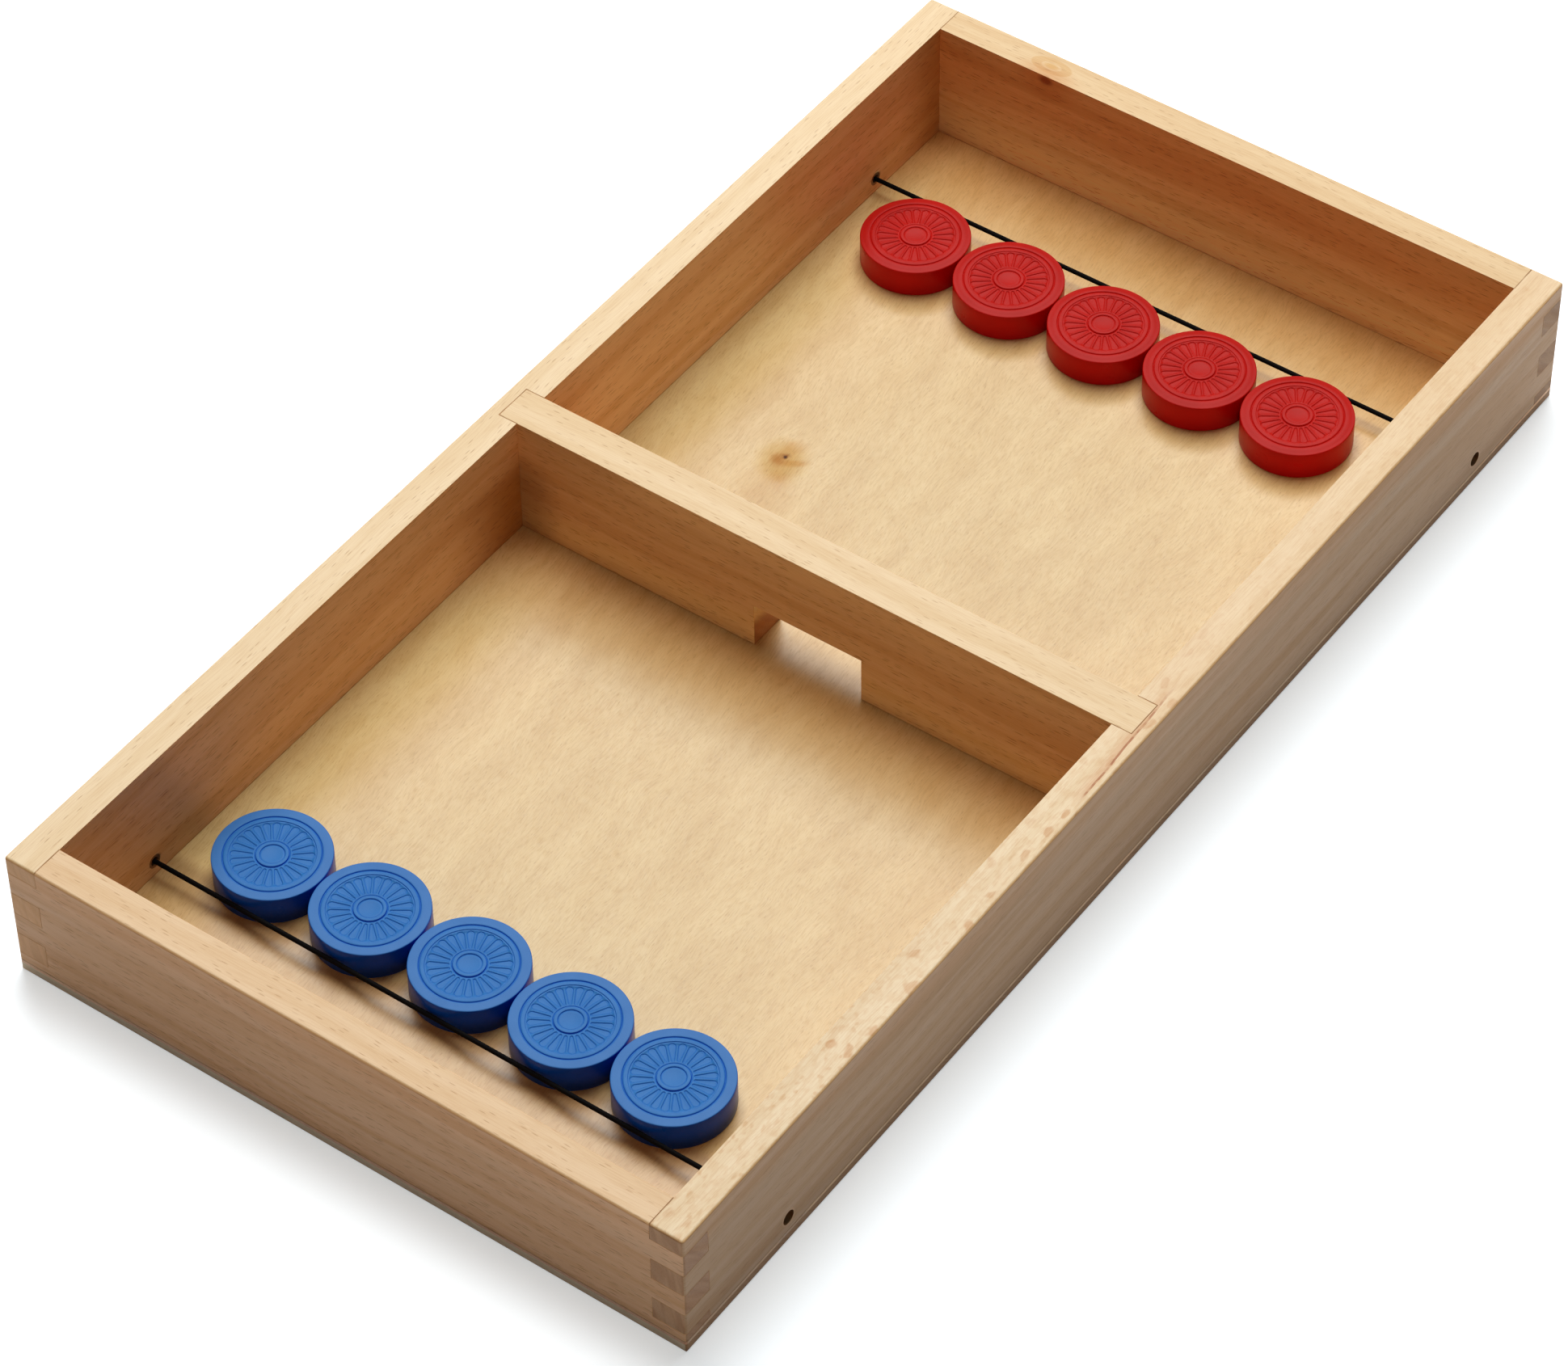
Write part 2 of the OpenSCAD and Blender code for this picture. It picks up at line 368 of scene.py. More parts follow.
def face_of(tree, facing, axis, sign=1.0):
    """1 on the faces that look along this axis, in this sense"""
    return graded(tree, both(tree, facing[axis], sign), 0.6, 0.9, 0.0, 1.0)


def surfaced(tree, tone, roughness, shine, height, depth, strength=0.4, sheen=(1, 1, 1, 1)):
    """Gives a material its colour, its shine and a fine relief of this depth"""
    relief = node(tree, "ShaderNodeBump", {"Height": height, "Distance": depth, "Strength": strength})
    shader = node(tree, "ShaderNodeBsdfPrincipled", {"Base Color": tone, "Roughness": roughness,
                                                     "Specular IOR Level": shine, "Specular Tint": sheen,
                                                     "Normal": relief.outputs[0]})
    node(tree, "ShaderNodeOutputMaterial", {"Surface": shader.outputs[0]})


def beech(name, grain, offset, light, dark, side_grain_and_shade_tint, end_stain=1.0, marks=None):
    """Oiled beech with its grain along X or Y: soft bands, fine fibres, the short dark dashes of
    beech, darker end grain with growth rings, warm eased edges, and dark glue lines where it meets
    the other pieces. Its sides are darker and warmer than its top, partly side grain and partly painted
    shade, and a painted shadow runs along its foot where it sits on the base. marks adds what only this
    board has."""
    material, tree = blank_material(name)
    coordinates = node(tree, "ShaderNodeTexCoord")
    place = coordinates.outputs["Object"]
    flat = grain_plan(tree, place, grain, offset)
    x, y, z = axes_of(tree, in_millimetres(tree, place))
    facing = axes_of(tree, coordinates.outputs["Normal"])
    steep = sums(tree, "ABSOLUTE", facing["Z"])
    side = graded(tree, steep, 0.3, 0.8, 1.0, 0.0)
    end_face = graded(tree, sums(tree, "ABSOLUTE", facing[grain]), 0.6, 0.9, 0.0, 1.0)
    long_face = sums(tree, "SUBTRACT", 1.0, end_face)

    bands = clouds(tree, flat, 4.5, 130)
    tone = mixed(tree, graded(tree, bands, 0.36, 0.64, 0.0, 1.0), light, dark)
    dark_bands = graded(tree, clouds(tree, flat, 7, 170, 2.0, 31.0), 0.48, 0.64, 0.0, 0.9)
    tone = stained(tree, tone, both(tree, dark_bands, side, long_face), (0.90, 0.83, 0.74))
    fibres = both(tree, clouds(tree, flat, 0.3, 9, 3.0), long_face)
    tone = stained(tree, tone, graded(tree, fibres, 0.40, 0.70, 0.0, 0.60), (0.89, 0.82, 0.74))
    dash = dashes(tree, flat, 0.8, 6.0, 0.08, 0.24, 0.46)
    long_dash = both(tree, dashes(tree, flat, 1.2, 13.0, 0.06, 0.17, 0.30, 17.0), side)
    dash = both(tree, sums(tree, "MAXIMUM", dash, long_dash), long_face)
    if marks:
        dash, tone = marks(tree, flat, tone, dash, (x, y, z), facing)
    depth = graded(tree, side, 0.0, 1.0, 0.62, 1.0)
    tone = stained(tree, tone, both(tree, dash, depth), (0.62, 0.50, 0.40))
    # The sides' tint: partly their side grain, partly painted shade.
    tone = stained(tree, tone, side, side_grain_and_shade_tint)

    end = both(tree, end_face, end_stain)
    ring_slant = (900, 0, 160) if grain == "Y" else (0, 620, 520)
    ring_plan = point(tree, weighed(tree, place, ring_slant), z)
    tone = stained(tree, tone, end, (0.80, 0.72, 0.66))
    growth = graded(tree, clouds(tree, ring_plan, 1.9, 18, 1.0), 0.38, 0.64, 0.0, 0.8)
    tone = stained(tree, tone, both(tree, end, growth), (0.80, 0.73, 0.66))
    pores = graded(tree, clouds(tree, ring_plan, 0.3, 0.6, 1.0), 0.5, 0.7, 0.0, 0.4)
    tone = stained(tree, tone, both(tree, end, pores), (0.80, 0.74, 0.68))

    # Warmer on the rounded edges, between the tops and the sides.
    warm_edge = both(tree, graded(tree, steep, 0.12, 0.35, 0.0, 1.0),
                   graded(tree, steep, 0.80, 0.95, 0.9, 0.0))
    tone = stained(tree, tone, warm_edge, (0.96, 0.80, 0.58))
    beside_x = sums(tree, "ABSOLUTE", x)
    beside_y = sums(tree, "ABSOLUTE", y)
    corner = both(tree, near(tree, beside_x, inner_x / mm, 0.22),
                  sums(tree, "GREATER_THAN", beside_y, inner_y / mm))
    housed = sums(tree, "COMPARE", beside_x, (inner_x + housing_depth / 2) / mm,
                  (housing_depth / 2 + 0.1 * mm) / mm)
    cheek = both(tree, near(tree, beside_y, divider_t / 2 / mm, 0.20), housed)
    tip = both(tree, near(tree, beside_x, (inner_x + housing_depth) / mm, 0.20),
               sums(tree, "LESS_THAN", beside_y, (divider_t / 2 + 0.1 * mm) / mm))
    seam = sums(tree, "MAXIMUM", corner, sums(tree, "MAXIMUM", cheek, tip))
    seam = both(tree, seam, graded(tree, clouds(tree, flat, 6, 6, 1.0, 5.0), 0.35, 0.6, 0.3, 0.85))
    above = sums(tree, "SUBTRACT", 1.0, side)
    tone = stained(tree, tone, both(tree, seam, above), (0.42, 0.29, 0.18))
    # Painted shadow along the foot, where the frame sits on the base.
    foot = graded(tree, z, base_t / mm + 0.1, base_t / mm + 0.5, 0.7, 0.0)
    tone = stained(tree, tone, foot, (0.60, 0.48, 0.38))

    roughness = graded(tree, bands, 0.3, 0.7, 0.46, 0.56)
    surfaced(tree, tone, roughness, 0.22, sums(tree, "SUBTRACT", fibres, dash), 0.03 * mm)
    return material


def spot(tree, u, v, middle, reach, soft=0.45):
    """1 in the middle of an oval, fading to 0 at its rim"""
    oval = point(tree, sums(tree, "DIVIDE", sums(tree, "SUBTRACT", u, middle[0]), reach[0]),
                 sums(tree, "DIVIDE", sums(tree, "SUBTRACT", v, middle[1]), reach[1]))
    return graded(tree, length_of(tree, oval), soft, 1.1, 1.0, 0.0)


def bored(tree, tone, where, inner, outer):
    """The cords' holes in a long rail: painted shade inside, a dark blot round the small mouth, a pale chip
    over it and a painted highlight round the wide mouth"""
    _, y, z = where
    for end, chip in ((-1, 0.35), (1, 1.0)):
        u = sums(tree, "SUBTRACT", y, end * cord_y / mm)
        v = sums(tree, "SUBTRACT", z, cord_z / mm)
        chipped = both(tree, inner, spot(tree, u, v, (0.5, 1.7), (1.6, 0.7)), chip)
        tone = stained(tree, tone, chipped, (1.05, 1.4, 1.8))
        dark_blot = both(tree, inner, spot(tree, u, v, (0.75, 0.45), (1.75, 1.4)))
        tone = stained(tree, tone, dark_blot, (0.22, 0.15, 0.12))
        apart = length_of(tree, point(tree, u, v))
        # Painted highlight round the wide mouth.
        tone = stained(tree, tone, both(tree, outer, near(tree, apart, 2.2, 0.4)), (1.14, 1.16, 1.20))
        # Painted shade inside the hole.
        hole_shade = sums(tree, "LESS_THAN", apart, knot_hole_r / mm + 0.03)
        tone = stained(tree, tone, hole_shade, (0.30, 0.23, 0.16))
    return tone


def left_wall_marks(tree, flat, tone, dash, where, facing):
    """The left rail's inner face: a darker grey patch over the near cord's hole, painted shade in its
    inside corners, and a paler stretch in the far court"""
    _, y, z = where
    inner = face_of(tree, facing, "X")
    grey_patch = sums(tree, "MULTIPLY_ADD", z, 0.42, sums(tree, "ADD", y, 145.0))
    tone = stained(tree, tone, both(tree, inner, near(tree, grey_patch, -14.0, 36.0)), (0.75, 0.80, 0.84))
    # Painted shade in the corner by the divider, over the lower part of the face.
    corner = both(tree, graded(tree, y, -40.0, -9.0, 0.0, 1.0), graded(tree, y, -6.0, -5.0, 1.0, 0.0),
                  graded(tree, z, 20.0, 34.0, 1.0, 0.0))
    tone = stained(tree, tone, both(tree, inner, corner), (0.56, 0.40, 0.20))
    # Painted shade in the corner by the far end rail.
    tone = stained(tree, tone, both(tree, inner, graded(tree, y, 162.0, 182.0, 0.0, 1.0)), (0.66, 0.56, 0.38))
    pale = both(tree, graded(tree, y, 12.0, 32.0, 0.0, 1.0), graded(tree, y, 88.0, 115.0, 1.0, 0.0))
    tone = stained(tree, tone, both(tree, inner, pale), (1.05, 1.13, 1.20))
    tone = bored(tree, tone, where, inner, face_of(tree, facing, "X", -1.0))
    return dash, tone


def quartered(tree, flat, tone, dash, where, facing):
    """The right rail's top, sawn on the quarter: pale blocks, leaf-shaped tan flecks and small spots,
    few dashes, and one reddish streak past the divider's tongue. Its outer face pales toward the far end
    and has painted light along its upper edge."""
    x, y, z = where
    top, outer = face_of(tree, facing, "Z"), face_of(tree, facing, "X")
    near_part, far_part = graded(tree, y, -175.0, -100.0, 1.0, 0.0), graded(tree, y, 110.0, 185.0, 0.0, 1.0)
    tone = stained(tree, tone, both(tree, outer, near_part), (0.91, 0.90, 0.89))
    tone = stained(tree, tone, both(tree, outer, far_part), (1.14, 1.13, 1.14))
    # Painted light along the outer face's upper edge.
    tone = stained(tree, tone, both(tree, outer, graded(tree, z, 30.0, 36.0, 0.0, 1.0)), (1.13, 1.10, 1.08))
    bare = both(tree, top, 0.8)
    dash = both(tree, dash, sums(tree, "SUBTRACT", 1.0, bare))
    cell = node(tree, "ShaderNodeTexVoronoi", {"Vector": stretched(tree, flat, 4.8, 8.0, 9.0), "Scale": 1.0},
                voronoi_dimensions="2D")
    patch = node(tree, "ShaderNodeSeparateColor", {"Color": cell.outputs["Color"]}).outputs[1]
    tone = stained(tree, tone, both(tree, top, graded(tree, y, -30.0, 10.0, 1.0, 0.0)), (1.03, 1.08, 1.13))
    tone = stained(tree, tone, both(tree, top, patch), (0.96, 0.93, 0.90))
    warp = node(tree, "ShaderNodeTexNoise", {"Vector": stretched(tree, flat, 2.6, 4.5), "Scale": 1.0,
                                             "Detail": 1.0}, noise_dimensions="2D").outputs["Color"]
    warp = node(tree, "ShaderNodeVectorMath", {0: warp, 1: (2.0, 3.4, 0)}, operation="MULTIPLY").outputs[0]
    leaf_plan = node(tree, "ShaderNodeVectorMath", {0: flat, 1: warp}, operation="ADD").outputs[0]
    leaf = dashes(tree, leaf_plan, 4.6, 8.5, 0.14, 0.27, 0.45, 3.0)
    near_court = graded(tree, y, -30.0, 40.0, 1.0, 0.35)
    tone = stained(tree, tone, both(tree, top, leaf, near_court), (0.84, 0.69, 0.58))
    mottle = graded(tree, clouds(tree, flat, 1.3, 3.2, 2.0, 21.0), 0.42, 0.66, 0.0, 1.0)
    tone = stained(tree, tone, both(tree, top, mottle, near_court), (0.95, 0.90, 0.85))
    spotty = graded(tree, y, -150.0, -60.0, 1.0, 0.35)
    spots = dashes(tree, leaf_plan, 1.9, 2.9, 0.10, 0.38, 0.35, 7.0)
    tone = stained(tree, tone, both(tree, top, spots, spotty), (0.91, 0.82, 0.74))

    course = sums(tree, "MULTIPLY_ADD", y, -0.043, 96.67)
    course = sums(tree, "ADD", course, both(tree, clouds(tree, flat, 40, 9, 1.0, 2.0), 0.7))
    off = sums(tree, "SUBTRACT", x, course)
    reach = both(tree, graded(tree, y, -34.0, -26.0, 0.0, 1.0), graded(tree, y, 0.0, 17.0, 1.0, 0.0))
    broken = graded(tree, clouds(tree, flat, 3, 3, 2.0, 14.0), 0.35, 0.6, 0.3, 1.0)
    vein = both(tree, near(tree, off, 0.0, 0.34), reach, broken)
    blush = both(tree, graded(tree, off, -3.4, 0.1, 0.0, 1.0), graded(tree, off, 0.1, 0.4, 1.0, 0.0), reach)
    tone = stained(tree, tone, both(tree, top, blush), (0.86, 0.71, 0.62))
    tone = stained(tree, tone, both(tree, top, vein), (0.62, 0.42, 0.34))
    dash = both(tree, dash, sums(tree, "SUBTRACT", 1.0, both(tree, outer, 0.5)))
    ends = sums(tree, "ABSOLUTE", facing["Y"])
    tone = stained(tree, tone, graded(tree, ends, 0.6, 0.9, 0.0, 1.0), (1.12, 1.06, 1.02))
    tone = bored(tree, tone, where, face_of(tree, facing, "X", -1.0), outer)
    return dash, tone


def fingered(tip, shoulder, first):
    """A rail's side view: from this finger on, counted from the top, every other one reaches the tips"""
    outline = []
    for end in (1, -1):
        steps = []
        for i, (top, bottom) in enumerate(zip(finger_tops, finger_tops[1:])):
            reach = end * (tip + mm if i % 2 == first else shoulder)
            steps += [(reach, top + (mm if i == 0 else 0)), (reach, bottom)]
        outline += steps[::-1] if end == 1 else steps
    return outline


def oiled(piece, material):
    """Eases a piece of the frame and gives it its wood"""
    ease(piece)
    piece.data.materials.clear()
    piece.data.materials.append(material)


def long_rail(name, side, material):
    low, high = sorted((side * inner_x, side * (board_w / 2 + mm)))
    above = 50 * mm
    rail = new_piece(name, sawn(fingered(board_l / 2, inner_y, 0), lambda a, b, c: (c, a, b), low, high))
    worked(rail, sanded_frame(), "INTERSECT")
    worked(rail, block((side * inner_x - housing_depth, -divider_t / 2, 0),
                       (side * inner_x + housing_depth, divider_t / 2, above)), "DIFFERENCE")
    for y in (-cord_y, cord_y):
        worked(rail, drill(side, y), "DIFFERENCE")
    oiled(rail, material)
    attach(rail, "board")
    return rail


left_beech = beech("beech_left_rail", "Y", (211, 303), (0.98, 0.76, 0.48), (0.94, 0.71, 0.43),
                   (0.99, 0.755, 0.605), 0.45, left_wall_marks)
left_rail = long_rail("left_rail_planed", -1, left_beech)
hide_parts("left_rail")
right_beech = beech("beech_right_rail", "Y", (443, 320), (0.97, 0.75, 0.48), (0.94, 0.71, 0.44),
                    (0.71, 0.61, 0.57), 1.0, quartered)
right_rail = long_rail("right_rail_planed", 1, right_beech)
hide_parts("right_rail")

# The two end rails: the same planed beech, with its grain across the board. Their fingers fill the
# gaps between those of the long rails and are glued in.
def end_rail(name, side, material):
    low, high = sorted((side * inner_y, side * (board_l / 2 + mm)))
    rail = new_piece(name, sawn(fingered(board_w / 2, inner_x, 1), lambda a, b, c: (a, c, b), low, high))
    worked(rail, sanded_frame(), "INTERSECT")
    oiled(rail, material)
    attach(rail, "board")
    return rail


def plain(tree, flat, tone, dash, where, facing):
    """The near end rail's outer face, a little paler at its lower edge, with painted light along its upper
    edge
    """
    _, _, z = where
    outer = face_of(tree, facing, "Y", -1.0)
    # Painted light along the upper edge of the outer face.
    tone = stained(tree, tone, both(tree, outer, graded(tree, z, 29.0, 36.0, 0.0, 1.0)), (1.13, 1.12, 1.12))
    tone = stained(tree, tone, both(tree, outer, graded(tree, z, 6.0, 13.0, 1.0, 0.0)), (1.10, 1.10, 1.08))
    ends = sums(tree, "ABSOLUTE", facing["X"])
    tone = stained(tree, tone, graded(tree, ends, 0.6, 0.9, 0.0, 1.0), (0.76, 0.78, 0.80))
    return dash, tone


def knotted(tree, flat, tone, dash, where, facing):
    """The far end rail's small dark knot at its inner upper edge, with the grain swirling round it on
    top. Its inner face is redder toward the top and paler along the foot, painted light that lifts the
    shade at its foot."""
    x, y, z = where
    top, inner = face_of(tree, facing, "Z"), face_of(tree, facing, "Y", -1.0)
    ends = sums(tree, "ABSOLUTE", facing["X"])
    tone = stained(tree, tone, graded(tree, ends, 0.6, 0.9, 0.0, 1.0), (0.80, 0.82, 0.84))
    # Painted light: the inner face is lightened, most at its foot, and turns redder toward the top.
    tone = stained(tree, tone, inner, (1.17, 1.38, 1.42))
    tone = stained(tree, tone, both(tree, inner, graded(tree, z, 6.0, 32.0, 0.0, 1.0)), (0.93, 0.67, 0.51))
    low = both(tree, graded(tree, z, 6.0, 16.0, 1.0, 0.0), graded(tree, x, -80.0, -60.0, 0.0, 1.0))
    tone = stained(tree, tone, both(tree, inner, low), (1.14, 1.10, 1.06))
    down = sums(tree, "SUBTRACT", 38.9, z)
    aside = sums(tree, "ADD", x, 56.0)
    deep = sums(tree, "SUBTRACT", y, inner_y / mm)
    apart = length_of(tree, point(tree, sums(tree, "DIVIDE", aside, 3.0), sums(tree, "DIVIDE", down, 2.0),
                                  sums(tree, "DIVIDE", deep, 1.5)))
    tone = stained(tree, tone, graded(tree, apart, 0.6, 4.5, 1.0, 0.0), (0.88, 0.70, 0.56))
    tone = stained(tree, tone, graded(tree, apart, 0.35, 1.0, 1.0, 0.0), (0.52, 0.28, 0.20))
    swirl = length_of(tree, point(tree, sums(tree, "DIVIDE", sums(tree, "ADD", x, 57.0), 5.5),
                                  sums(tree, "DIVIDE", sums(tree, "SUBTRACT", y, 188.0), 2.6)))
    ring = both(tree, top, near(tree, swirl, 0.85, 0.35))
    tone = stained(tree, tone, ring, (0.93, 0.84, 0.70))
    eye = graded(tree, swirl, 0.15, 0.6, 1.0, 0.0)
    tone = stained(tree, tone, both(tree, top, eye), (0.92, 0.80, 0.56))
    return dash, tone


near_beech = beech("beech_near_end", "X", (707, 331), (0.92, 0.66, 0.40), (0.88, 0.61, 0.35),
                   (0.95, 0.80, 0.74), 1.0, plain)
near_end_rail = end_rail("near_end_rail_planed", -1, near_beech)
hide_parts("near_end_rail")
far_beech = beech("beech_far_end", "X", (290, 412), (0.89, 0.65, 0.37), (0.85, 0.60, 0.33),
                  (0.95, 0.80, 0.74), 1.0, knotted)
far_end_rail = end_rail("far_end_rail_planed", 1, far_beech)
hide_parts("far_end_rail")

# The divider: a thicker beech board, let into both long rails, with a square gate sawn out of its
# lower edge that one puck just passes.
def shaded(tree, flat, tone, dash, where, facing):
    """The divider's faces: painted light along the foot and the upper edge, painted shade in the corner
    by the left rail, and darker on the gate's cheeks"""
    x, _, z = where
    upright = sums(tree, "ABSOLUTE", facing["Y"])
    # Painted light along the foot of the faces.
    tone = stained(tree, tone, both(tree, upright, graded(tree, z, 6.0, 18.0, 1.0, 0.0)), (1.14, 1.27, 1.18))
    # Painted light along the lit upper edge.
    lit = both(tree, graded(tree, x, -66.0, -46.0, 0.0, 1.0), graded(tree, z, 33.0, 37.0, 0.0, 1.0))
    tone = stained(tree, tone, both(tree, upright, lit), (1.14, 1.20, 1.24))
    # Painted shade in the corner by the left rail.
    corner = both(tree, graded(tree, x, -88.0, -75.0, 1.0, 0.0), graded(tree, z, 20.0, 33.0, 1.0, 0.0))
    tone = stained(tree, tone, both(tree, upright, corner), (0.64, 0.60, 0.54))
    cheeks = sums(tree, "ABSOLUTE", facing["X"])
    tone = stained(tree, tone, graded(tree, cheeks, 0.6, 0.9, 0.0, 1.0), (0.72, 0.60, 0.52))
    return dash, tone


gate_w, gate_h = 33 * mm, 14 * mm
tongue_x = inner_x + housing_depth
divider_outline = [(-tongue_x, base_t), (-gate_w / 2, base_t), (-gate_w / 2, base_t + gate_h),
                   (gate_w / 2, base_t + gate_h), (gate_w / 2, base_t), (tongue_x, base_t),
                   (tongue_x, board_h), (-tongue_x, board_h)]
divider = new_piece("divider_planed", sawn(divider_outline, lambda a, b, c: (a, c, b),
                                           -divider_t / 2, divider_t / 2))
oiled(divider, beech("beech_divider", "X", (561, 155), (0.95, 0.72, 0.44), (0.91, 0.67, 0.39),
                     (0.945, 0.74, 0.60), 1.0, shaded))
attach(divider, "board")
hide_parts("divider")

# The base: three-ply birch, glued under the frame and flush with it outside. Its upper veneer is the
# playing floor, lacquered so that the pucks slide well, with short slanting fibres, soft clouds and one
# small knot in the far court.
def floor_knot(tree, x, y, tone):
    """A pin knot with brown crescents round it and a brown wash on its near side, where the lacquer
    has sunk in and is dull"""
    shaken = clouds(tree, point(tree, x, y), 2.0, 2.0, 1.0)
    dx = sums(tree, "ADD", sums(tree, "ADD", x, 49.4), shaken)
    dy = sums(tree, "SUBTRACT", sums(tree, "SUBTRACT", y, 53.6), shaken)
    u = sums(tree, "MULTIPLY_ADD", dx, 0.806, both(tree, dy, 0.592))
    v = sums(tree, "MULTIPLY_ADD", dx, -0.430, both(tree, dy, 0.585))
    for middle, reach, soft, tint in (((-6.0, -9.5), (11.0, 10.5), 0.1, (0.90, 0.80, 0.60)),
                                      ((-1.8, -6.0), (3.8, 4.2), 0.0, (0.94, 0.84, 0.68)),
                                      ((0.5, 0.5), (5.5, 4.5), 0.0, (0.96, 0.88, 0.76)),
                                      ((3.0, 2.6), (4.4, 2.4), 0.3, (0.93, 0.84, 0.70)),
                                      ((2.4, -1.8), (5.0, 1.2), 0.3, (0.91, 0.78, 0.58)),
                                      ((-2.0, -0.6), (3.2, 2.6), 0.0, (0.74, 0.52, 0.30)),
                                      ((0.2, 0.3), (1.7, 1.1), 0.0, (0.55, 0.36, 0.20)),
                                      ((0.0, 0.0), (0.75, 0.55), 0.2, (0.15, 0.08, 0.04))):
        tone = stained(tree, tone, spot(tree, u, v, middle, reach, soft), tint)
    dull = both(tree, spot(tree, u, v, (-1.0, -1.0), (8.0, 7.0), 0.2), 0.5)
    return tone, dull


def playing_floor(tree, x, y, tone):
    """The top veneer's face: fibres that slant off the board's length, clouds and small dashes, painted
    light along the left wall, painted warm light by the far end, the right rail and the divider, and a
    painted shadow under the near cord and along the near end"""
    slant = sums(tree, "MULTIPLY_ADD", x, -0.0007, 0.072)
    across = sums(tree, "MULTIPLY_ADD", y, slant, x)
    flat = point(tree, across, y)
    drift = both(tree, clouds(tree, flat, 20, 26, 2.0, 4.0), 4.0)
    flat = point(tree, sums(tree, "ADD", across, drift), y)
    broad = clouds(tree, flat, 12, 30, 1.0)
    tone = stained(tree, tone, graded(tree, broad, 0.30, 0.70, 0.0, 1.0), (0.955, 0.925, 0.86))
    small = clouds(tree, flat, 3.0, 9, 1.0, 8.0)
    tone = stained(tree, tone, graded(tree, small, 0.35, 0.70, 0.0, 1.0), (0.96, 0.93, 0.88))
    fibres = clouds(tree, flat, 0.28, 2.4, 2.0, 15.0)
    tone = stained(tree, tone, graded(tree, fibres, 0.46, 0.74, 0.0, 0.8), (0.89, 0.84, 0.77))
    long_fibres = clouds(tree, flat, 0.5, 8.0, 2.0, 25.0)
    tone = stained(tree, tone, graded(tree, long_fibres, 0.48, 0.74, 0.0, 0.6), (0.88, 0.82, 0.74))
    strokes = dashes(tree, flat, 0.75, 3.0, 0.08, 0.24, 0.60, 33.0)
    tone = stained(tree, tone, both(tree, strokes, 0.7), (0.80, 0.70, 0.58))
    tone, dull = floor_knot(tree, x, y, tone)
    from_divider = sums(tree, "SUBTRACT", sums(tree, "ABSOLUTE", y), divider_t / 2 / mm)
    from_far_end = sums(tree, "SUBTRACT", inner_y / mm, y)
    from_near_end = sums(tree, "ADD", y, inner_y / mm)
    from_left = sums(tree, "ADD", x, inner_x / mm)
    from_right = sums(tree, "SUBTRACT", inner_x / mm, x)
    far_court = both(tree, graded(tree, y, 5.0, 130.0, 1.0, 0.0), graded(tree, y, 8.0, 32.0, 0.0, 1.0))
    tone = stained(tree, tone, far_court, (0.92, 0.955, 1.0))
    # Painted warm light that lifts the divider's shadow on the near court's floor.
    near_court = both(tree, graded(tree, from_divider, 4.0, 34.0, 1.0, 0.0),
                      graded(tree, y, -12.0, -4.0, 1.0, 0.0))
    tone = stained(tree, tone, near_court, (1.24, 1.14, 1.08))
    # Painted shadow of the blue pucks and the near cord on the floor.
    cord_shadow = graded(tree, sums(tree, "ABSOLUTE", sums(tree, "ADD", y, 151.0)), 3.0, 7.5, 1.0, 0.0)
    tone = stained(tree, tone, cord_shadow, (0.68, 0.60, 0.58))
    # Painted warm light by the far end rail and the right rail, and a painted shadow of the near cord and
    # pucks along the near end.
    for away, close, reach, tint in ((from_far_end, 4.0, 36.0, (1.24, 1.06, 0.92)),
                                     (from_near_end, 25.0, 31.0, (0.84, 0.78, 0.78)),
                                     (from_right, 4.0, 16.0, (1.0, 0.98, 0.94))):
        tone = stained(tree, tone, graded(tree, away, close, reach, 1.0, 0.0), tint)
    # Painted light that lifts the left rail's shadow on the floor.
    along_left = both(tree, graded(tree, from_left, 4.0, 27.0, 1.0, 0.0),
                      graded(tree, from_divider, 12.0, 40.0, 0.35, 1.0),
                      graded(tree, from_far_end, 12.0, 40.0, 0.35, 1.0))
    tone = stained(tree, tone, along_left, (1.27, 1.43, 1.52))
    return tone, fibres, dull


def birch(name, grain, light, dark, long_tint, end_tint, surface=None):
    """A ply layer with its grain along X or Y, and tints for its edges cut along and across the grain.
    surface adds what only the lacquered face has: its figure, dull spots and a soft, cool shine."""
    material, tree = blank_material(name)
    coordinates = node(tree, "ShaderNodeTexCoord")
    x, y, _ = axes_of(tree, in_millimetres(tree, coordinates.outputs["Object"]))
    facing = axes_of(tree, coordinates.outputs["Normal"])
    flat = grain_plan(tree, coordinates.outputs["Object"], grain, (150, 90))
    tone = mixed(tree, graded(tree, clouds(tree, flat, 9, 60), 0.35, 0.65, 0.0, 1.0), light, dark)
    fibres = clouds(tree, flat, 0.35, 6, 3.0)
    shine, sheen, rough, dull = 0.22, (1, 1, 1, 1), (0.48, 0.56), 0.0
    if surface:
        tone, fibres, dull = surface(tree, x, y, tone)
        shine, sheen, rough = 0.45, (0.80, 0.95, 1, 1), (0.28, 0.36)
    else:
        tone = stained(tree, tone, graded(tree, fibres, 0.42, 0.7, 0.0, 0.8), (0.86, 0.80, 0.72))
    cut_along, cut_across = ("X", "Y") if grain == "Y" else ("Y", "X")
    for axis, tint in ((cut_along, long_tint), (cut_across, end_tint)):
        edge = graded(tree, sums(tree, "ABSOLUTE", facing[axis]), 0.3, 0.7, 0.0, 1.0)
        tone = stained(tree, tone, edge, tint)
    roughness = sums(tree, "ADD", graded(tree, fibres, 0.3, 0.7, *rough), dull)
    surfaced(tree, tone, roughness, shine, fibres, 0.02 * mm, sheen=sheen)
    return material


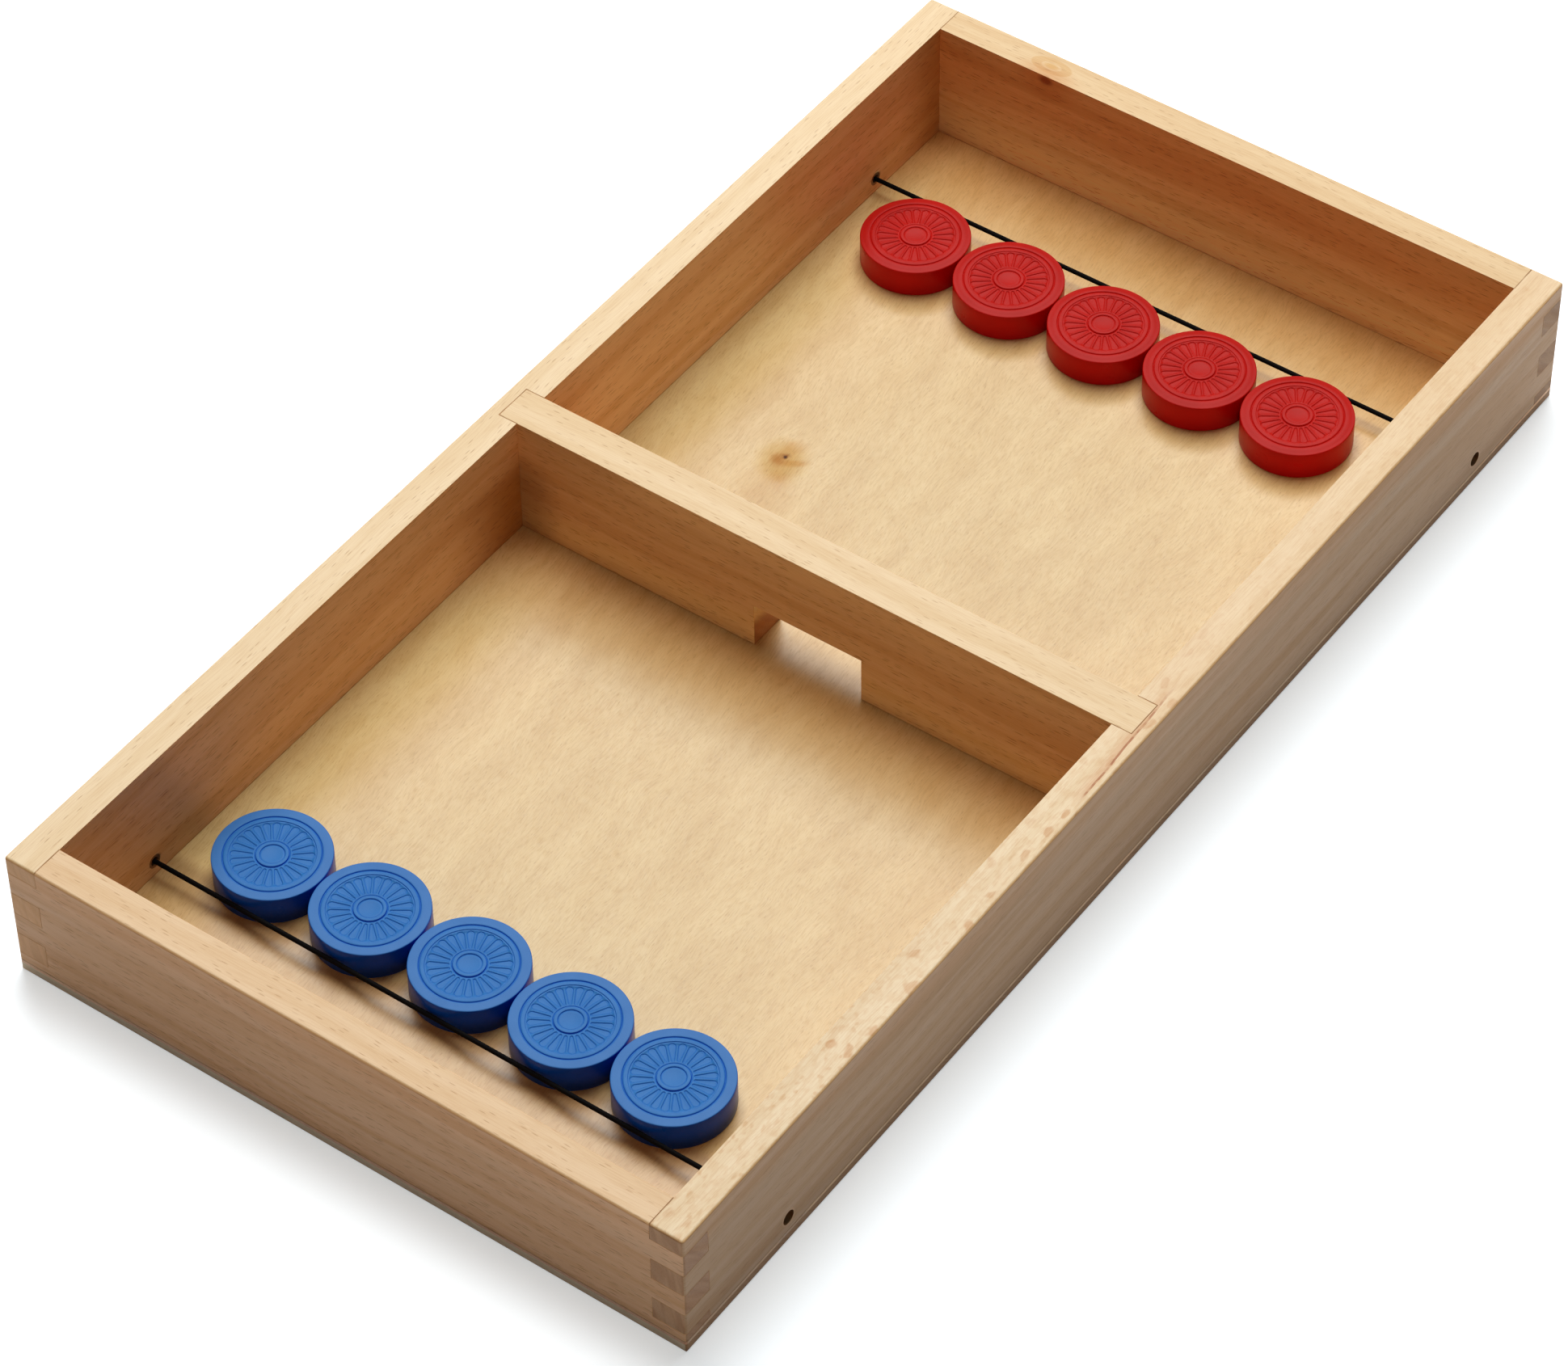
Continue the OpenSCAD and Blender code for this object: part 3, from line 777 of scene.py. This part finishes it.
def faced(name, material):
    """Dresses one of the base's layers, which is shown as the CAD made it"""
    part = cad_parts[name]
    part.data.materials.clear()
    part.data.materials.append(material)


faced("base_top_veneer", birch("birch_top_veneer", "Y", (0.775, 0.540, 0.234), (0.745, 0.510, 0.216),
                               (1.26, 1.20, 1.38), (1.20, 0.94, 1.06), playing_floor))
faced("base_core", birch("birch_core", "X", (0.96, 0.82, 0.62), (0.93, 0.78, 0.57), (1.02, 0.97, 0.93),
                         (0.52, 0.33, 0.20)))
# The bottom veneer's side edges are tinted dark: painted shade along the board's lowest edge.
faced("base_bottom_veneer", birch("birch_bottom_veneer", "Y", (0.89, 0.71, 0.45), (0.86, 0.67, 0.41),
                                  (0.48, 0.34, 0.29), (1.05, 0.98, 1.02)))

# The sling cords: round elastic with a black plaited cover, pulled tight between the long rails.
# Each is one length. Between the rails it follows its sling, in straight sides from the holes
# to the puck that it holds when it is drawn.
cord_r = 0.65 * mm


def elastic_cord(name, side, material):
    """A straight cord from knot to knot, with the shallow diamonds of its plait"""
    form = bmesh.new()
    around, step = 30, 0.3 * mm
    count = int(2 * knot_seat_x / step)
    plaits, pitch = 6, 2.4 * mm
    rows = []
    for i in range(count + 1):
        x = -knot_seat_x + 2 * knot_seat_x * i / count
        row = []
        for k in range(around):
            a = 2 * math.pi * k / around
            wind = 2 * math.pi * x / pitch
            weave = math.cos(plaits * a + wind) * math.cos(plaits * a - wind)
            r = cord_r * (0.97 + 0.03 * weave)
            row.append(form.verts.new((x, side * cord_y + r * math.cos(a), cord_z + r * math.sin(a))))
        rows.append(row)
    skinned(form, rows)
    form.faces.new(rows[0])
    form.faces.new(rows[-1][::-1])
    for face in form.faces:
        face.smooth = True
    return new_piece(name, form, material)


def plaited_elastic():
    material, tree = blank_material("plaited_elastic")
    place = node(tree, "ShaderNodeTexCoord").outputs["Object"]
    lint = node(tree, "ShaderNodeTexNoise", {"Vector": place, "Scale": 2500.0, "Detail": 2.0}).outputs["Fac"]
    tone = mixed(tree, lint, (0.0008, 0.0006, 0.0006), (0.0035, 0.003, 0.003))
    surfaced(tree, tone, 0.75, 0.05, lint, 0.03 * mm, strength=0.6)
    return material


elastic = plaited_elastic()
puck_x = -5.4 * mm
puck_side = 4 * mm
for name, side in (("near", -1), ("far", 1)):
    cord = elastic_cord(name + "_elastic_cord", side, elastic)
    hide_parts(name + "_cord")
    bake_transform(cord, "board", name + "_sling", start=(-inner_x, 0, 0), end=(puck_x - puck_side, 0, 0))
    weights = cord.data.attributes["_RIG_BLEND"].data
    for vertex, weight in zip(cord.data.vertices, weights):
        x = vertex.co.x
        left = (x + inner_x) / (puck_x - puck_side + inner_x)
        far_side = (inner_x - x) / (inner_x - puck_x - puck_side)
        weight.value = max(0.0, min(1.0, left, far_side))

# The end knots: each cord is tied off in the wide mouth of its hole. The knot is drawn as a small
# closed figure of the same elastic, pulled up against the step in the hole.
def end_knot(name, side_x, side_y):
    form = bmesh.new()
    turns, around, size, strand = 72, 12, 0.36 * mm, 0.5 * mm
    flattened, off_seat = 0.55, 0.85 * mm
    centre = Vector((side_x * (knot_seat_x + off_seat), side_y * cord_y, cord_z))
    path = []
    for i in range(turns):
        t = 2 * math.pi * i / turns
        path.append(Vector((flattened * -math.sin(3 * t) * size, (math.sin(t) + 2 * math.sin(2 * t)) * size,
                            (math.cos(t) - 2 * math.cos(2 * t)) * size)))
    rows = []
    for i in range(turns):
        ahead = (path[(i + 1) % turns] - path[i - 1]).normalized()
        out = ahead.cross(Vector((1, 0, 0))).normalized()
        side = ahead.cross(out).normalized()
        rows.append([form.verts.new(centre + path[i] + strand * (math.cos(2 * math.pi * k / around) * out
                                                                + math.sin(2 * math.pi * k / around) * side))
                     for k in range(around)])
    skinned(form, rows + rows[:1])
    for face in form.faces:
        face.smooth = True
    bmesh.ops.recalc_face_normals(form, faces=form.faces)
    knot = new_piece(name + "_tied", form, elastic)
    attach(knot, "board")
    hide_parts(name)


for name, side_y in (("near", -1), ("far", 1)):
    end_knot(name + "_left_knot", -1, side_y)
    end_knot(name + "_right_knot", 1, side_y)

# The pucks: turned and pressed wooden draughts pieces in satin paint. Each has a plain rim, a thin
# groove, a raised ring, a rosette of petals with pressed outlines, and a dished hub.
puck_r, puck_h, puck_edge_r = 15.05, 8.5, 0.3
petals = 24
petal_in, petal_out, petal_in_r, petal_out_r = 5.2, 9.5, 0.32, 0.95
dish_r, bead_r, hub_r, field_r, ring_r = 3.1, 3.62, 4.15, 10.85, 12.2
field_depth, petal_depth, petal_line, ring_line, hub_line = 0.20, 0.17, 0.15, 0.32, 0.20
bead_height, dish_step, dish_line, dish_depth = 0.07, 0.12, 0.12, 0.26
per_row, row_y, pitch_x = 5, 137.1 * mm, 30.4 * mm


def eased_step(value, low, high):
    t = max(0.0, min(1.0, (value - low) / (high - low)))
    return t * t * (3 - 2 * t)


def bump_line(value, middle, width):
    return math.exp(-((value - middle) / width) ** 2)


def petal_half_width(r):
    """Half the width of a petal at radius r, in millimetres, or 0 past its round ends"""
    if r < petal_in:
        return math.sqrt(max(0.0, petal_in_r ** 2 - (petal_in - r) ** 2))
    if r > petal_out:
        return math.sqrt(max(0.0, petal_out_r ** 2 - (r - petal_out) ** 2))
    return petal_in_r + (petal_out_r - petal_in_r) * (r - petal_in) / (petal_out - petal_in)


def petal_edge(r, a):
    """Distance outside a petal's outline, in millimetres, of a point at radius r and angle a"""
    x, y = r * math.cos(a) - petal_in, abs(r * math.sin(a))
    length = petal_out - petal_in
    if x < 0:
        return math.hypot(x, y) - petal_in_r
    if x > length:
        return math.hypot(x - length, y) - petal_out_r
    return y - petal_in_r - (petal_out_r - petal_in_r) * x / length


def face_height(r, a, drop, relief):
    """Height of the puck's upper face over its rim, in millimetres"""
    field = eased_step(r, hub_r - 0.1, hub_r + 0.05) - eased_step(r, field_r - 0.08, field_r + 0.08)
    height = -field_depth * field
    height -= hub_line * bump_line(r, hub_r + 0.14, 0.13)
    height += bead_height * max(0.0, 1 - ((r - bead_r) / 0.5) ** 2)
    height -= dish_step * (1 - eased_step(r, dish_r - 0.08, dish_r + 0.05))
    height -= dish_line * bump_line(r, dish_r - 0.10, 0.13)
    height -= dish_depth * max(0.0, 1 - (r / dish_r) ** 2)
    height -= ring_line * bump_line(r, ring_r, 0.16)
    if hub_r + 0.3 < r < field_r - 0.1:
        gap = petal_edge(r, a)
        scoop = max(0.0, min(1.0, -gap / 0.45))
        pressed = petal_depth * math.sin(math.pi / 2 * scoop) + petal_line * bump_line(gap, -0.05, 0.09)
        height -= relief * pressed
    return height - drop * eased_step(r, 12.6, 14.7) ** 1.5


def face_radii():
    """Radii of the upper face's rows: close together at each turned edge and at the petals' ends"""
    fine = [edge + 0.06 * k for edge in (dish_r, hub_r, field_r, ring_r) for k in range(-4, 6)]
    ends = [petal_in - petal_in_r + 0.07 * k for k in range(-3, 5)]
    ends += [petal_out + petal_out_r - 0.07 * k for k in range(-3, 8)]
    plain = [0.5 + 0.3 * k for k in range(9)] + [4.6 + 0.22 * k for k in range(28)]
    plain += [11.4, 11.7, 12.7, 13.1, 13.5, 13.9, 14.3, puck_r - puck_edge_r]
    radii = []
    for r in sorted(fine + ends + plain):
        if not radii or r - radii[-1] > 0.045:
            radii.append(r)
    return radii


def sector_angles(r):
    """Angles of a row's points in half a petal's sector, gathered at the petal's outline"""
    width, half_sector = petal_half_width(r), math.pi / petals
    if width < 0.26:
        return [half_sector * k / 7 for k in range(7)]
    steps = [0, (width - 0.24) / 2, width - 0.24, width - 0.13, width - 0.07, width - 0.01, width + 0.07]
    return [math.asin(min(step / r, 1.0)) for step in steps]


def turned_puck(name, centre, turn, material, drop, relief):
    form = bmesh.new()
    rows = [[form.verts.new((0, 0, puck_h + face_height(0, 0, drop, relief)))]]
    top = puck_h + face_height(puck_r - puck_edge_r, 0, drop, relief)
    wall = [(puck_r - puck_edge_r + puck_edge_r * math.sin(t), top - puck_edge_r + puck_edge_r * math.cos(t))
            for t in (math.radians(d) for d in (22, 45, 67, 90))]
    wall += [(puck_r, top - 2.0), (puck_r, 2.0)]
    wall += [(puck_r - puck_edge_r + puck_edge_r * math.cos(t), puck_edge_r - puck_edge_r * math.sin(t))
             for t in (math.radians(d) for d in (0, 22, 45, 67, 90))]
    for r, z in [(r, None) for r in face_radii()] + wall:
        half = sector_angles(r)
        row = []
        for k in range(petals):
            for a in [-step for step in half[:0:-1]] + half:
                height = z if z is not None else puck_h + face_height(r, a, drop, relief)
                turned = a + 2 * math.pi * k / petals
                row.append(form.verts.new((r * math.cos(turned), r * math.sin(turned), height)))
        rows.append(row)
    skinned(form, rows)
    form.faces.new(rows[-1][::-1])
    for face in form.faces:
        face.smooth = len(face.verts) < 5
    place = Matrix.Translation(centre) @ Matrix.Rotation(math.radians(turn), 4, "Z") @ Matrix.Scale(mm, 4)
    bmesh.ops.transform(form, matrix=place, verts=form.verts)
    return new_piece(name, form, material)


def satin_paint(name, deep, pressed, rim_tint_and_sheen, shadowed, roughness, shine):
    """Satin paint, glossier and deeper on the turned side than on the pressed faces, the side's deeper
    colour partly the paint's and partly painted shade, with a rim tint that is a painted sheen on the
    blue pucks and a painted shadow along the foot"""
    material, tree = blank_material(name)
    coordinates = node(tree, "ShaderNodeTexCoord")
    place = coordinates.outputs["Object"]
    x, y, z = axes_of(tree, in_millimetres(tree, place))
    middle, half_pitch = puck_x / mm, pitch_x / 2 / mm
    aside = sums(tree, "SUBTRACT", sums(tree, "WRAP", x, middle + half_pitch, middle - half_pitch), middle)
    ahead = sums(tree, "SUBTRACT", sums(tree, "ABSOLUTE", y), row_y / mm)
    from_hub = length_of(tree, point(tree, aside, ahead))
    cloud = node(tree, "ShaderNodeTexNoise", {"Vector": place, "Scale": 140.0, "Detail": 3.0}).outputs["Fac"]
    flat = sums(tree, "ABSOLUTE", axes_of(tree, coordinates.outputs["Normal"])["Z"])
    # The side's deeper colour: partly the paint's, partly painted shade.
    tone = mixed(tree, graded(tree, flat, 0.3, 0.95, 0.0, 1.0), deep, pressed)
    tone = stained(tree, tone, graded(tree, cloud, 0.3, 0.7, 0.0, 1.0), (0.92, 0.93, 0.95))
    # Rim tint: a painted sheen on the blue pucks' rims.
    tone = stained(tree, tone, both(tree, flat, graded(tree, from_hub, ring_r, 13.0, 0.0, 1.0)), rim_tint_and_sheen)
    # Painted shadow along the side's foot.
    foot = both(tree, graded(tree, flat, 0.1, 0.5, 1.0, 0.0), graded(tree, z, 4.6, 9.4, 1.0, 0.0))
    tone = stained(tree, tone, foot, shadowed)
    skin = node(tree, "ShaderNodeTexNoise", {"Vector": place, "Scale": 1300.0, "Detail": 2.0}).outputs["Fac"]
    rough = sums(tree, "MULTIPLY_ADD", cloud, 0.10, graded(tree, flat, 0.2, 0.9, *roughness))
    surfaced(tree, tone, rough, shine, skin, 0.015 * mm, strength=0.3)
    return material


blue = satin_paint("blue_paint", (0.001, 0.058, 0.58), (0.029, 0.187, 0.53), (1.65, 1.06, 1.0),
                   (0.40, 0.36, 0.32), (0.24, 0.38), 0.13)
red = satin_paint("red_paint", (0.58, 0.001, 0.001), (0.52, 0.010, 0.006), (0.98, 0.96, 0.95),
                  (0.86, 0.80, 0.80), (0.24, 0.36), 0.09)
for i in range(per_row):
    for colour, side, paint, turns, drop, relief in (("blue", -1, blue, (3, 12, 6, 9, 9), 0.05, 1.4),
                                                     ("red", 1, red, (3, 1, 7, 0, 12), 0.30, 1.6)):
        name = "%s_puck_%d" % (colour, i + 1)
        centre = Vector((puck_x + (i - per_row // 2) * pitch_x, side * row_y, base_t))
        puck = turned_puck(name + "_turned", centre, turns[i], paint, drop, relief)
        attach(puck, name)
        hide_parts(name)
